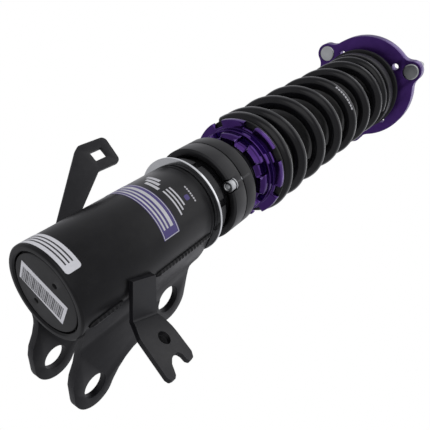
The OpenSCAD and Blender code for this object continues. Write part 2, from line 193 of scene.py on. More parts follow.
LILAC_EDGE_HIGHLIGHT = (0.42, 0.3, 0.72)
MAT = {
    "powder": material(
        "powder_coat_black", (0.005, 0.005, 0.0056), (0.01, 0.01, 0.011), (0.24, 0.36), grain=1500, bump=0.16,
        edge=(0.06, 0.06, 0.065), edge_mm=0.6, edge_fac=0.5, dust=0.02, specular=0.24
    ),
    "plate_black": material(
        "bracket_black", (0.006, 0.006, 0.0075), (0.012, 0.012, 0.0145), (0.34, 0.48), grain=1300, bump=0.22,
        edge=(0.07, 0.07, 0.075), edge_mm=0.5, edge_fac=0.55, dust=0.05, specular=0.33
    ),
    "anodised_black": material(
        "anodised_black", (0.012, 0.012, 0.013), (0.02, 0.02, 0.021), (0.34, 0.48), 0.35, grain=2600,
        bump=0.08, turned=0.5, edge=(0.12, 0.12, 0.125), edge_mm=0.35, edge_fac=0.6
    ),
    "purple": material(
        "anodised_purple", (0.055, 0.018, 0.15), (0.085, 0.03, 0.21), (0.26, 0.38), 0.75, grain=2600,
        bump=0.08, turned=0.45, edge=LILAC_EDGE_HIGHLIGHT, edge_mm=0.45, edge_fac=0.85
    ),
    "perch": material(
        "perch_purple", (0.05, 0.02, 0.125), (0.085, 0.036, 0.2), (0.06, 0.12), 0.95, grain=2600, bump=0.08,
        turned=0.45, edge=LILAC_EDGE_HIGHLIGHT, edge_mm=0.4, edge_fac=0.8
    ),
    "spring": material(
        "spring_black", (0.004, 0.004, 0.0048), (0.008, 0.008, 0.0095), (0.14, 0.24), grain=700, bump=0.14,
        coat=0.12, coat_rough=0.1, dust=0.012, specular=0.3
    ),
    "thread": material(
        "thread_black", (0.014, 0.014, 0.016), (0.026, 0.026, 0.028), (0.34, 0.46), 0.4, grain=2200,
        bump=0.08, edge=(0.1, 0.1, 0.1), edge_mm=0.2, edge_fac=0.35
    ),
    # the lighter edge colour is a painted highlight on the edges
    "zinc": material(
        "zinc_plate", (0.5, 0.51, 0.52), (0.68, 0.69, 0.69), (0.24, 0.4), 1.0, grain=1800, bump=0.1,
        turned=0.3, edge=(0.85, 0.86, 0.87), edge_mm=0.3
    ),
    # the near-white edge colour is a painted highlight on the edges
    "ring": material(
        "polished_ring", (0.62, 0.63, 0.64), (0.72, 0.73, 0.74), (0.07, 0.13), 1.0, grain=2400,
        bump=0.05, turned=0.4, edge=(0.92, 0.93, 0.94), edge_mm=0.5, edge_fac=0.9
    ),
    "steel": material(
        "ground_steel", (0.42, 0.42, 0.42), (0.58, 0.58, 0.57), (0.16, 0.28), 1.0, grain=2000,
        bump=0.06, turned=0.6
    ),
    "chrome": material(
        "rod_chrome", (0.62, 0.62, 0.63), (0.7, 0.7, 0.71), (0.06, 0.12), 1.0, grain=2500, bump=0.03
    ),
    # the pale red edge colour is a painted highlight on the edges
    "red": material(
        "anodised_red", (0.25, 0.01, 0.015), (0.4, 0.02, 0.03), (0.25, 0.35), 0.8, grain=2500, bump=0.08,
        turned=0.4, edge=(0.7, 0.3, 0.3), edge_mm=0.2
    ),
    "rubber": material(
        "boot_rubber", (0.009, 0.009, 0.009), (0.018, 0.018, 0.018), (0.6, 0.75), grain=900,
        bump=0.25, dust=0.12, specular=0.35
    ),
    "foam": material(
        "bump_foam", (0.42, 0.33, 0.1), (0.55, 0.45, 0.17), (0.7, 0.85), grain=500,
        bump=0.5, bump_mm=0.2, specular=0.3
    ),
    "sticker": material(
        "label_white", (0.78, 0.78, 0.81), (0.86, 0.86, 0.89), (0.35, 0.5), grain=1200, bump=0.05, patch=30
    ),
    "sticker_purple": material(
        "label_purple", (0.065, 0.045, 0.2), (0.08, 0.055, 0.24), (0.3, 0.42), grain=1200, bump=0.05, patch=30
    ),
    "ink": material(
        "label_ink", (0.02, 0.02, 0.022), (0.035, 0.035, 0.036), (0.4, 0.55), grain=1200, bump=0.04
    ),
    "white_ink": material(
        "white_print", (0.6, 0.6, 0.62), (0.72, 0.72, 0.74), (0.4, 0.55), grain=1200, bump=0.04
    ),
    "cap": material(
        "cap_black", (0.014, 0.014, 0.0145), (0.021, 0.021, 0.022), (0.4, 0.55), 0.2, grain=1600, bump=0.15,
        turned=0.35, edge=(0.09, 0.09, 0.09), edge_mm=0.4, dust=0.05
    ),
    "floor": material(
        "floor_pale", (0.78, 0.78, 0.78), (0.82, 0.82, 0.82), (0.6, 0.75), patch=3, grain=60, bump=0.03
    ),
}


# ---------- mesh helpers ----------


def smooth_by_angle(mesh, limit=SMOOTH_DEG):
    bm = bmesh.new()
    bm.from_mesh(mesh)
    for f in bm.faces:
        f.smooth = True
    for e in bm.edges:
        if len(e.link_faces) == 2:
            e.smooth = e.calc_face_angle(0) < rad(limit)
    bm.to_mesh(mesh)
    bm.free()


def mesh_object(name, verts, faces, merge=1e-6, limit=SMOOTH_DEG):
    mesh = bpy.data.meshes.new(name)
    mesh.from_pydata([(x * MM, y * MM, z * MM + Z_BASE) for x, y, z in verts], [], faces)
    bm = bmesh.new()
    bm.from_mesh(mesh)
    bmesh.ops.remove_doubles(bm, verts=bm.verts, dist=merge)
    bmesh.ops.dissolve_degenerate(bm, edges=bm.edges, dist=1e-7)
    bmesh.ops.delete(bm, geom=[e for e in bm.edges if not e.link_faces], context="EDGES")
    bmesh.ops.delete(bm, geom=[v for v in bm.verts if not v.link_faces], context="VERTS")
    bmesh.ops.recalc_face_normals(bm, faces=bm.faces)
    if bm.calc_volume(signed=True) < 0:
        bmesh.ops.reverse_faces(bm, faces=bm.faces)
    bm.to_mesh(mesh)
    bm.free()
    smooth_by_angle(mesh, limit)
    ob = bpy.data.objects.new(name, mesh)
    scene.collection.objects.link(ob)
    return ob


def finish_piece(ob, mat, body, replaces=()):
    ob.data.materials.clear()
    ob.data.materials.append(MAT[mat])
    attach(ob, body)
    if replaces:
        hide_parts(*replaces)
    return ob


def lathe_data(profile, segs=192):
    """profile: closed loop of (radius, height) points, anticlockwise seen with r to the right."""
    verts, faces = [], []
    n = len(profile)
    for i in range(segs):
        a = i * TAU / segs
        verts += [(r * math.cos(a), r * math.sin(a), z) for r, z in profile]
    for i in range(segs):
        j = (i + 1) % segs
        for k in range(n):
            m = (k + 1) % n
            faces.append((i * n + k, j * n + k, j * n + m, i * n + m))
    return verts, faces


def rounded(profile, radii):
    """Rounds the corners of a closed profile; radii is one number or a dict of corner: radius."""
    out = []
    n = len(profile)
    for i, p in enumerate(profile):
        r = radii.get(i, 0) if isinstance(radii, dict) else radii
        p = Vector(p)
        a, b = Vector(profile[i - 1]) - p, Vector(profile[(i + 1) % n]) - p
        if r <= 0 or a.length < 1e-9 or b.length < 1e-9:
            out.append(tuple(p))
            continue
        half = a.angle(b) / 2
        if half > rad(88):
            out.append(tuple(p))
            continue
        cut = min(r / math.tan(half), a.length * 0.49, b.length * 0.49)
        rr = cut * math.tan(half)
        centre = p + (a.normalized() + b.normalized()).normalized() * (rr / math.sin(half))
        s, e = p + a.normalized() * cut - centre, p + b.normalized() * cut - centre
        turn = s.angle_signed(e)
        steps = max(2, int(abs(math.degrees(turn)) / 22))
        for k in range(steps + 1):
            w = -turn * k / steps
            c, q = math.cos(w), math.sin(w)
            out.append((centre.x + s.x * c - s.y * q, centre.y + s.x * q + s.y * c))
    return out


def lathe(name, profile, radii=0, segs=192, limit=SMOOTH_DEG):
    prof = rounded(profile, radii) if radii else profile
    prof = [(max(r, 0.0), z) for r, z in prof]
    v, f = lathe_data(prof, segs)
    return mesh_object(name, v, f, limit=limit)


def evaluated(ob):
    dep = bpy.context.evaluated_depsgraph_get()
    dep.update()
    return bpy.data.meshes.new_from_object(ob.evaluated_get(dep))


def boolean(ob, cutters, operation="DIFFERENCE", limit=SMOOTH_DEG):
    """Cuts ob with each cutter, and removes the cutters."""
    for c in cutters:
        mod = ob.modifiers.new("cut", "BOOLEAN")
        mod.operation = operation
        mod.solver = "EXACT"
        mod.object = c
        mesh = evaluated(ob)
        ob.modifiers.clear()
        ob.data = mesh
        bpy.data.objects.remove(c)
    smooth_by_angle(ob.data, limit)
    return ob


def soften(ob, width, segments=2, angle=40, limit=SMOOTH_DEG):
    """Rounds the sharp edges with a bevel that is baked into the mesh."""
    mod = ob.modifiers.new("edge", "BEVEL")
    mod.width = width * MM
    mod.segments = segments
    mod.limit_method = "ANGLE"
    mod.angle_limit = rad(angle)
    mod.harden_normals = False
    mod.use_clamp_overlap = True
    mesh = evaluated(ob)
    ob.modifiers.clear()
    ob.data = mesh
    bm = bmesh.new()
    bm.from_mesh(mesh)
    bmesh.ops.dissolve_degenerate(bm, edges=bm.edges, dist=1e-7)
    bm.to_mesh(mesh)
    bm.free()
    smooth_by_angle(ob.data, limit)
    return ob


def prism(name, outline, low, high, place=None):
    """An outline of (x, y) points, extruded from low to high along its own z and then moved by place."""
    place = place or Matrix.Identity(4)
    n = len(outline)
    verts = [place @ Vector((x, y, z)) for z in (low, high) for x, y in outline]
    faces = [tuple(range(n))[::-1], tuple(range(n, 2 * n))]
    faces += [(i, (i + 1) % n, n + (i + 1) % n, n + i) for i in range(n)]
    return mesh_object(name, verts, faces)


def rod_along(name, centre, axis, radius, length, segs=64):
    """A solid cylinder about centre along axis, as a cutter or a plain part."""
    turn = Vector((0, 0, 1)).rotation_difference(Vector(axis)).to_matrix().to_4x4()
    circle = [(radius * math.cos(i * TAU / segs), radius * math.sin(i * TAU / segs)) for i in range(segs)]
    return prism(name, circle, -length / 2, length / 2, Matrix.Translation(centre) @ turn)


def polar_ring(name, outer, inner_r, outer_prof, inner_prof):
    """A ring with an outline that varies with the angle. outer: (angle in degrees, radius) all the way round.
    outer_prof and inner_prof: (inset, height) from bottom to top; the inset is measured into the metal."""
    pts = [Vector((r * math.cos(rad(a)), r * math.sin(rad(a)))) for a, r in outer]
    n = len(pts)
    normals = []
    for i in range(n):
        d = (pts[(i + 1) % n] - pts[i]).normalized() + (pts[i] - pts[i - 1]).normalized()
        d.normalize()
        side = Vector((d.y, -d.x))
        e = (pts[(i + 1) % n] - pts[i]).normalized()
        normals.append(side / max(0.5, abs(side.dot(Vector((e.y, -e.x))))))
    verts = []
    layers = [(pts[i] - normals[i] * d, z) for d, z in outer_prof for i in range(n)]
    angles = [math.atan2(p.y, p.x) for p in pts]
    verts += [(p.x, p.y, z) for p, z in layers]
    for d, z in reversed(inner_prof):
        verts += [((inner_r + d) * math.cos(a), (inner_r + d) * math.sin(a), z) for a in angles]
    rows = len(outer_prof) + len(inner_prof)
    faces = []
    for k in range(rows):
        m = (k + 1) % rows
        for i in range(n):
            j = (i + 1) % n
            faces.append((k * n + i, k * n + j, m * n + j, m * n + i))
    return mesh_object(name, verts, faces)


def notched(radius, floor_r, count, first, half_deg, step=2.0, corner=0.5):
    """Outline of a ring with notches whose walls flare a little, and whose corners are broken."""
    out = []
    c = math.degrees(corner / radius)
    for k in range(count):
        mid = first + k * 360 / count
        out += [
            (mid - half_deg - c, radius),
            (mid - half_deg - c * 0.3, radius - corner * 0.3),
            (mid - half_deg + 0.02, radius - corner),
            (mid - half_deg + 0.25, floor_r + corner),
            (mid - half_deg + 0.25 + c * 0.5, floor_r + corner * 0.25),
            (mid - half_deg + 0.3 + c, floor_r),
        ]
        inner = max(2, int(half_deg * 2 / step))
        a0, a1 = mid - half_deg + 0.3 + c, mid + half_deg - 0.3 - c
        out += [(a0 + (a1 - a0) * i / inner, floor_r) for i in range(1, inner)]
        out += [
            (mid + half_deg - 0.3 - c, floor_r),
            (mid + half_deg - 0.25 - c * 0.5, floor_r + corner * 0.25),
            (mid + half_deg - 0.25, floor_r + corner),
            (mid + half_deg - 0.02, radius - corner),
            (mid + half_deg + c * 0.3, radius - corner * 0.3),
            (mid + half_deg + c, radius),
        ]
        a0, a1 = mid + half_deg + c, mid + 360 / count - half_deg - c
        outer_n = max(2, int((a1 - a0) / step))
        out += [(a0 + (a1 - a0) * i / outer_n, radius) for i in range(1, outer_n)]
    return out


def thread_data(radius, depth, pitch, low, high, segs, core):
    """An outside thread from low to high on a core, which is the rest of the closed profile,
    from top to bottom."""
    shape = [(0, depth), (0.12, depth * 0.1), (0.5, 0), (0.62, 0), (0.95, depth * 0.9)]
    per = len(shape)
    turns = int(math.ceil((high - low) / pitch)) + 2
    rows = turns * per
    verts, faces = [], []
    for i in range(segs):
        a = i * TAU / segs
        for k in range(rows):
            turn, part = divmod(k, per)
            z = low + pitch * (turn - 1 + shape[part][0] + i / segs)
            r = radius - shape[part][1]
            if z <= low or z >= high:
                z = min(max(z, low), high)
                r = radius - depth
            verts.append((r * math.cos(a), r * math.sin(a), z))
    for i in range(segs):
        j = (i + 1) % segs
        shift = per if j == 0 else 0
        for k in range(rows - 1):
            if k + 1 + shift < rows:
                at = j * rows + k + shift
                faces.append((i * rows + k, at, at + 1, i * rows + k + 1))
            else:
                faces.append((i * rows + k, j * rows + rows - 1, j * rows + rows - 1, i * rows + k + 1))
    faces = [tuple(dict.fromkeys(f)) for f in faces]
    faces = [f for f in faces if len(f) > 2]
    base = len(verts)
    prof = [(radius - depth, high)] + list(core) + [(radius - depth, low)]
    n = len(prof)
    for i in range(segs):
        a = i * TAU / segs
        verts += [(r * math.cos(a), r * math.sin(a), z) for r, z in prof]
    for i in range(segs):
        j = (i + 1) % segs
        for k in range(n - 1):
            here, there = base + i * n + k, base + j * n + k
            faces.append((here, there, there + 1, here + 1))
    return verts, faces


def threaded(name, radius, depth, pitch, low, high, core, segs=96, limit=28):
    v, f = thread_data(radius, depth, pitch, low, high, segs, core)
    return mesh_object(name, v, f, merge=2e-6, limit=limit)


def join(name, objs):
    """One object from several, which keeps its place."""
    bm = bmesh.new()
    for o in objs:
        bm.from_mesh(o.data)
        bpy.data.objects.remove(o)
    mesh = bpy.data.meshes.new(name)
    bm.to_mesh(mesh)
    bm.free()
    ob = bpy.data.objects.new(name, mesh)
    scene.collection.objects.link(ob)
    return ob


def patch(name, radius, a0, a1, z0, z1, thick, corner=0.0):
    """A thin label wrapped round the tube, with rounded corners."""
    verts, faces = [], []
    width = rad(a1 - a0) * radius
    cols = max(2, int(abs(a1 - a0)))
    turns = {corner / width * (1 - math.cos(rad(t))) for t in (20, 40, 60, 90) if corner}
    marks = sorted({i / cols for i in range(cols + 1)} | turns | {1 - u for u in turns})
    for u in marks:
        s = min(u, 1 - u) * width
        inset = corner - math.sqrt(max(0.0, corner**2 - max(0.0, corner - s) ** 2)) if corner else 0
        a = rad(a0 + (a1 - a0) * u)
        for r in (radius, radius + thick):
            for z in (z0 + inset, z1 - inset):
                verts.append((r * math.cos(a), r * math.sin(a), z))
    n = len(marks)
    for i in range(n - 1):
        a, b = i * 4, i * 4 + 4
        faces += [(a, b, b + 1, a + 1), (a + 2, a + 3, b + 3, b + 2)]
        faces += [(a, a + 2, b + 2, b), (a + 1, b + 1, b + 3, a + 3)]
    faces += [(0, 1, 3, 2), (n * 4 - 4, n * 4 - 2, n * 4 - 1, n * 4 - 3)]
    return mesh_object(name, verts, faces)


# ---------- knuckle bracket ----------

TUBE_R, BODY_R, BORE = 31.0, 26.5, 26.56  # BORE is that of every ring on the body


def tube_cutter():
    """The tube's outside, to cut a plate back to it."""
    return rod_along("tube", (0, 0, 50), (0, 0, 1), TUBE_R - 0.02, 200, 256)


def build_tube():
    prof = [
        (BORE, 1.0), (BORE + 0.9, 0), (TUBE_R - 1.0, 0), (TUBE_R, 1.0), (TUBE_R, 113.4),
        (TUBE_R - 0.45, 113.8), (TUBE_R - 0.45, 114.8), (TUBE_R, 115.2), (TUBE_R, 117.0),
        (TUBE_R - 0.6, 117.6), (BORE, 117.6),
    ]
    radii = {1: 0.4, 2: 0.6, 3: 0.8, 4: 0.2, 5: 0.15, 6: 0.15, 7: 0.2, 9: 0.3}
    ob = lathe("tube_shell", prof, radii, segs=256)
    finish_piece(ob, "powder", "bracket", ["bracket_tube"])


def ear_profile(side):
    """The ear and its strip seen along the strut, with a bend radius; side is -1 or 1."""
    corners = [(92, -16.1), (34.1, -16.1), (13.5, -24.0), (11.8, -28.7), (32.4, -21.1), (92, -21.1)]
    return [(x, -side * y) for x, y in rounded(corners, {1: 2.0, 4: 6.5})][::-1]


LOW_BOLT, UP_BOLT = (69.1, 8.6, 8.5), (48.6, 78.4, 10.0)  # (x, z, radius)


def arc(cx, cz, r, a0, a1, steps):
    points = [around(r, a0 + (a1 - a0) * i / steps) for i in range(steps + 1)]
    return [(cx + x, cz + z) for x, z in points]


def ear_outline():
    pts = [(8, 3), (29.6, 2.6), (36.1, 1.5), (42.5, -0.9), (49.5, -5), (56, -6.9), (63, -7.1)]
    pts += arc(LOW_BOLT[0], LOW_BOLT[1], 15.9, -90, 44, 16)
    pts += [
        (76.6, 22.6), (71.0, 28.5), (66.8, 35.3), (64.3, 42.1), (63.1, 49.0), (62.9, 56.0), (63.5, 63.0),
        (64.6, 69.2),
    ]
    pts += arc(UP_BOLT[0], UP_BOLT[1], 18.0, -18, 66, 12)[1:]
    pts += [
        (48.5, 97.0), (42.6, 98.6), (36.8, 100.6), (34.6, 102.1), (33.8, 104.4), (33.2, 112), (32.3, 114.4),
        (30.6, 116), (28, 116.5), (8, 116.5),
    ]
    return pts


def build_ears():
    for side, node_name, piece in ((-1, "near_ear", "ear_plate_near"), (1, "far_ear", "ear_plate_far")):
        ob = prism(piece, ear_profile(side), -20, 130)
        cut = prism("outline", ear_outline(), -45, 45, ALONG_Y)
        boolean(ob, [cut], "INTERSECT")
        holes = [rod_along("bolt", (x, 0, z), (0, 1, 0), r, 90, 72) for x, z, r in (LOW_BOLT, UP_BOLT)]
        boolean(ob, [tube_cutter()] + holes)
        soften(ob, 0.45, 2, 38)
        finish_piece(ob, "plate_black", "bracket", [node_name])


def build_welds():
    """Rippled weld beads between the ears' strips and the tube."""
    objs = []
    cx, y_abs = around(TUBE_R + 0.2, 70.2)
    for s, low, high in ((-1, 5, 29.7), (-1, 58.3, 115), (1, 5, 115)):  # the gap is under the hose bracket
        cy = s * y_abs
        n, m = int((high - low) * 1.4), 14
        verts, faces = [], []
        for i in range(n + 1):
            z = low + (high - low) * i / n
            fade = min(1.0, 0.35 + min(i, n - i) / 5)
            r = 1.78 * fade * (1 + 0.08 * math.cos(TAU * z / 3.1) + 0.03 * math.sin(z * 1.9))
            for j in range(m):
                b = TAU * j / m
                verts.append((cx + r * math.cos(b), cy + r * math.sin(b), z + 0.5 * math.cos(b) * s))
        for i in range(n):
            for j in range(m):
                k = (j + 1) % m
                faces.append((i * m + j, i * m + k, (i + 1) * m + k, (i + 1) * m + j))
        faces += [tuple(range(m))[::-1], tuple(n * m + j for j in range(m))]
        objs.append(mesh_object("bead", verts, faces, limit=50))
    ob = join("weld_beads", objs)
    smooth_by_angle(ob.data, 50)
    finish_piece(ob, "powder", "bracket", ["ear_welds"])


HOSE_Y, BEND, TILT, SHEET = -34.0, 63.7, 22.7, 3.0
HOSE_BASE = [(0, 0), (4, 0), (4, 22.4), (0, 22.4), (-28.2, 11.6), (-27.7, -8.7)]
HOSE_HOLE = (16.7, 13.9)
FORK_RADII = {
    2: 3, 3: 2, 4: 1.5, 5: 1.5, 6: 1.2, 7: 2, 8: 2, 9: 3, 10: 3, 11: 2, 12: 1.5, 13: 1.5, 14: 1.5, 15: 2,
    16: 2, 17: 3,
}
HOSE_FORK = [
    (-4, 0), (0, 0), (11.6, -3.7), (38.5, -3.9), (41, -2.4), (41.3, 1.2), (39.6, 3.4), (36.5, 4.7),
    (32.9, 6.1), (29.9, 9), (28, 13.5), (28.4, 17), (30.8, 18.6), (34.6, 19.2), (36.4, 21.6),
    (35.3, 25.2), (31.5, 27.4), (16.6, 27.1), (11.7, 26.6), (6.5, 25.2), (0, 22.4), (-4, 22.4),
]


def build_hose_bracket():
    """A bent sheet, cut to its base and fork outlines, with a round nut welded behind its hole."""
    place = Matrix.Translation((25.9, HOSE_Y, 32.2)) @ Matrix.Rotation(rad(TILT), 4, "Y")
    c, s = math.cos(rad(BEND)), math.sin(rad(BEND))
    prof = [(-40, 0), (-1.8, 0), (-0.7, -0.14), (-0.06, -0.6), (0.55 * c, -1.8)]
    prof += [(46 * c, -46 * s), (46 * c + SHEET * s, -46 * s + SHEET * c)]
    prof += [around(SHEET, 90 - BEND + i * BEND / 6) for i in range(7)]
    prof += [(-14, SHEET), (-14.6, SHEET + 0.4), (-40, SHEET + 0.4)]
    ob = prism("hose_bracket_sheet", prof, -20, 40, place)
    base = prism("base", HOSE_BASE, -14, 14, place @ ALONG_Y)
    turn = place @ Matrix.Rotation(rad(-BEND), 4, "Z")
    fork = prism("fork", rounded(HOSE_FORK, FORK_RADII), -14, 14, turn @ ALONG_Y)
    shape = boolean(base, [fork], "UNION")
    boolean(ob, [shape], "INTERSECT")
    hole_x, hole_z = HOSE_HOLE
    hole_at = turn @ Vector((hole_x, 1.5, hole_z))
    hole_dir = turn.to_3x3() @ Vector((0, 1, 0))
    boolean(ob, [tube_cutter(), rod_along("hole", hole_at, hole_dir, 4.6, 20, 48)])
    soften(ob, 0.35, 2, 38)
    bore = [(4.65, 7.7), (4.35, 7.4)]
    for i in range(8):
        z = 0.55 * i
        bore += [(4.1, 7.2 - z), (4.45, 7.0 - z), (4.45, 6.85 - z)]
    outside = [(5.0, 8.0), (6.8, 8.0), (7.4, 7.3), (7.4, SHEET + 0.02), (4.5, SHEET + 0.02)]
    nut = lathe("nut", bore[::-1] + outside, 0, 64, 30)
    nut.data.transform(Matrix.Translation((0, 0, -Z_BASE)))
    stand = turn @ Matrix.Translation((hole_x, 0, hole_z)) @ Matrix.Rotation(rad(-90), 4, "X")
    stand.translation = stand.translation * MM + Vector((0, 0, Z_BASE))
    nut.data.transform(stand)
    ob = join("hose_bracket_welded", [ob, nut])
    smooth_by_angle(ob.data)
    finish_piece(ob, "plate_black", "bracket", ["hose_bracket"])


def build_sensor_bracket():
    outline = [
        (28, 28), (35.6, 36.9), (69.3, 76.4), (71.4, 80.2), (70.4, 103.2), (51.5, 101.2), (49.0, 99.0),
        (49.6, 81.5), (28, 46.6),
    ]
    outline = rounded(outline, {2: 6, 3: 5, 4: 3.6, 5: 3.6, 6: 3.0, 7: 5})
    turn = Matrix.Rotation(rad(127), 4, "Z") @ ALONG_Y
    ob = prism("sensor_bracket_sheet", outline, -1.5, 1.5, turn)
    hole = prism("hole", rounded([(56.4, 84.1), (63.7, 84.1), (63.7, 94.9), (56.4, 94.9)], 0.6), -5, 5, turn)
    boolean(ob, [hole, tube_cutter()])
    soften(ob, 0.3, 2, 38)
    finish_piece(ob, "plate_black", "bracket", ["sensor_bracket"])


def build_tube_labels():
    """Plain bars stand in for all the print."""
    ob = patch("end_label_film", TUBE_R, 103, 223, 2.3, 12.5, 0.12, 2.0)
    finish_piece(ob, "sticker", "bracket", ["end_label"])
    bars = [patch("bar", TUBE_R + 0.12, 118, 214, z, z + 0.9, 0.02) for z in (4.7, 7.0, 9.3)]
    ob = join("end_label_print", bars)
    finish_piece(ob, "ink", "bracket")
    ob = patch("band_label_film", TUBE_R, 101, 251, 67.8, 82.3, 0.1)
    finish_piece(ob, "sticker_purple", "bracket", ["band_label"])
    lines = [patch("bar", TUBE_R + 0.1, 101.4, 250.6, z, z + 0.5, 0.02) for z in (68.3, 81.3)]
    lines += [patch("bar", TUBE_R + 0.1, a, a + 0.9, 68.8, 81.3, 0.02) for a in (101.4, 249.7)]
    for a, w, z, h in ((150, 90, 76.4, 2.6), (156, 84, 73.3, 1.4), (150, 90, 70.4, 1.4)):
        lines.append(patch("bar", TUBE_R + 0.1, a, a + w, z, z + h, 0.02))
    ob = join("band_label_print", lines)
    finish_piece(ob, "white_ink", "bracket")
    print_r = TUBE_R + 0.01
    marks = []
    for w, z in ((36, 88.2), (32, 91.2), (28, 94.2)):
        marks.append(patch("bar", print_r, 200, 200 + w, z, z + 1.3, 0.05))
    for i in range(3):
        a, z = 174 - 5 * i, 86.5 + 3.6 * i
        marks.append(patch("bar", print_r, a, a + 21, z, z + 2.4, 0.05))
    for i in range(7):
        a = 209 + i * 3.4
        marks.append(patch("bar", print_r, a, a + 2.3, 104.2, 105.4, 0.05))
    ob = join("tube_print", marks)
    finish_piece(ob, "white_ink", "bracket")
    ob = patch("tube_print_purple", print_r, 218.5, 225.5, 98.2, 102.2, 0.05, 1.2)
    finish_piece(ob, "sticker_purple", "bracket")


# ---------- shock body, rings and collar ----------


def build_body():
    core = [
        (BODY_R - 0.75, 261.2), (25.0, 262), (23.45, 262), (23.45, 254.2), (22.0, 254.2), (22.0, 3.2),
        (BODY_R - 0.9, 3.2), (BODY_R - 0.75, 4.0),
    ]
    ob = threaded("shock_tube", BODY_R, 0.75, 2.0, 4.0, 261.0, core, segs=96, limit=40)
    finish_piece(ob, "thread", "shock_group", ["shock_body"])
    prof = [(0, 0.8), (25.0, 0.8), (25.5, 1.3), (25.5, 3.1), (22.0, 3.2), (22.0, 12.0), (0, 12.0)]
    ob = lathe("base_disc", prof, {1: 0.3, 2: 0.2}, 192)
    boolean(ob, [rod_along("pin", (*around(15, a), 2), (0, 0, 1), 1.9, 8, 32) for a in (-136, 44)])
    soften(ob, 0.25, 2, 50)
    finish_piece(ob, "cap", "shock_group", ["base_cap"])
    corners = [Vector(p) for p in ((-15.9, 15.9), (0.0, -18.8), (16.4, -11.2), (-1.4, 22.0))]
    ob = prism("base_label_film", [tuple(p) for p in corners], 0.68, 0.8)
    finish_piece(ob, "sticker", "shock_group", ["base_label"])
    long_edge, short_edge = corners[1] - corners[0], corners[2] - corners[1]
    widths = [1 + (i * i + 3 * i) % 7 % 3 for i in range(44)]
    bars, at = [], 0.05
    unit = 0.9 / (sum(widths) + len(widths) * 1.2)
    for w in widths:
        a0, a1 = at, at + w * unit
        at = a1 + 1.2 * unit
        quad = ((a0, 0.2), (a1, 0.2), (a1, 0.86), (a0, 0.86))
        quad = [tuple(corners[0] + long_edge * u + short_edge * v) for u, v in quad]
        bars.append(prism("bar", quad, 0.66, 0.68))
    ob = join("base_label_bars", bars)
    finish_piece(ob, "ink", "shock_group")


def build_tube_ring():
    prof = [(BORE, 117.9), (35.9, 117.9), (36.1, 118.1), (36.1, 119.6), (35.6, 120.1), (BORE, 120.1)]
    ob = lathe("tube_ring_disc", prof, {1: 0.15, 2: 0.15, 3: 0.25, 4: 0.25}, 256)
    finish_piece(ob, "ring", "bracket_ring", ["tube_ring"])


def build_jam_nut():
    prof = [
        (BORE, 120.4), (31.3, 120.4), (31.5, 120.7), (31.5, 130.4), (30.5, 131.4), (BORE + 0.8, 131.4),
        (BORE, 130.8),
    ]
    ob = lathe("jam_nut_ring", prof, {1: 0.2, 3: 0.25, 4: 0.25}, 192)
    slot = rounded([(28.9, -2.6), (36, -2.6), (36, 2.6), (28.9, 2.6)], {0: 0.8, 3: 0.8})
    turns = [Matrix.Rotation(rad(13.3 + 60 * i), 4, "Z") for i in range(6)]
    boolean(ob, [prism("slot", slot, 125, 140, turn) for turn in turns])
    soften(ob, 0.25, 2, 45)
    finish_piece(ob, "anodised_black", "lower_jam_nut", ["jam_nut"])


SCREW_A, SCREW_R = rad(-121.5), 33.3
SCREW_X, SCREW_Y = SCREW_R * math.cos(SCREW_A), SCREW_R * math.sin(SCREW_A)


def build_collar():
    prof = [
        (BORE, 141.0), (31.6, 136.1), (34.9, 136.1), (36.1, 137.3), (36.1, 162.6), (34.7, 164.0),
        (29.2, 164.0), (BORE, 161.4),
    ]
    ob = lathe("lock_collar_ring", prof, {1: 0.3, 2: 0.3, 3: 0.3, 4: 0.4, 5: 0.4, 6: 0.3}, 256)
    turn = Matrix.Rotation(SCREW_A, 4, "Z")
    cuts = [
        prism("slit", [(-8, -50), (52, -50), (52, 50), (-8, 50)], 149.9, 151.1, turn),
        rod_along("pocket", (SCREW_X, SCREW_Y, 136), (0, 0, 1), 5.3, 12, 64),
        rod_along("shank", (SCREW_X, SCREW_Y, 145.2), (0, 0, 1), 2.8, 30.0, 32),
    ]
    for a in (30, 90):
        d = Vector((math.cos(rad(a)), math.sin(rad(a)), 0))
        cuts.append(rod_along("pin", d * 34 + Vector((0, 0, 157)), d, 2.5, 8, 40))
    boolean(ob, cuts)
    soften(ob, 0.22, 2, 42)
    finish_piece(ob, "anodised_black", "collar", ["lock_collar"])


def build_pinch_screw():
    """The collar's cap screw with its washer; the screw's head is knurled."""
    ob = lathe("pinch_washer_disc", [(2.56, 140.9), (4.9, 140.9), (4.9, 141.7), (2.56, 141.7)], 0.15, 64)
    ob.data.transform(Matrix.Translation((SCREW_X * MM, SCREW_Y * MM, 0)))
    finish_piece(ob, "zinc", "collar_washer", ["pinch_washer"])
    knurl = [(i * 5, 4.25 - (0.12 if i % 2 else 0)) for i in range(72)]
    body = polar_ring(
        "cap_screw", knurl, 2.35,
        [(0.55, 135.6), (0.12, 135.75), (0, 136.1), (0, 140.4), (0.2, 140.6)],
        [(0.5, 135.6), (0.1, 135.9), (0, 136.2), (0, 138.4), (-2.3, 138.6), (-2.3, 140.6)],
    )
    hexa = prism("hex", [around(2.32, 60 * i) for i in range(6)], 135.2, 138.3)
    solid = lathe("head_core", [(0, 135.9), (2.6, 135.9), (2.6, 140.4), (0, 140.4)], 0, 48)
    boolean(solid, [hexa])
    core = [(2.0, 158.0), (0, 158.0), (0, 140.4), (2.2, 140.4), (2.2, 140.9)]
    shank = threaded("shank", 2.5, 0.3, 0.8, 141.0, 157.6, core, 32)
    ob = join("pinch_cap_screw", [body, solid, shank])
    ob.data.transform(Matrix.Translation((SCREW_X * MM, SCREW_Y * MM, 0)))
    smooth_by_angle(ob.data, 35)
    finish_piece(ob, "zinc", "collar_screw", ["pinch_screw"])


# ---------- spring perch and spring ----------


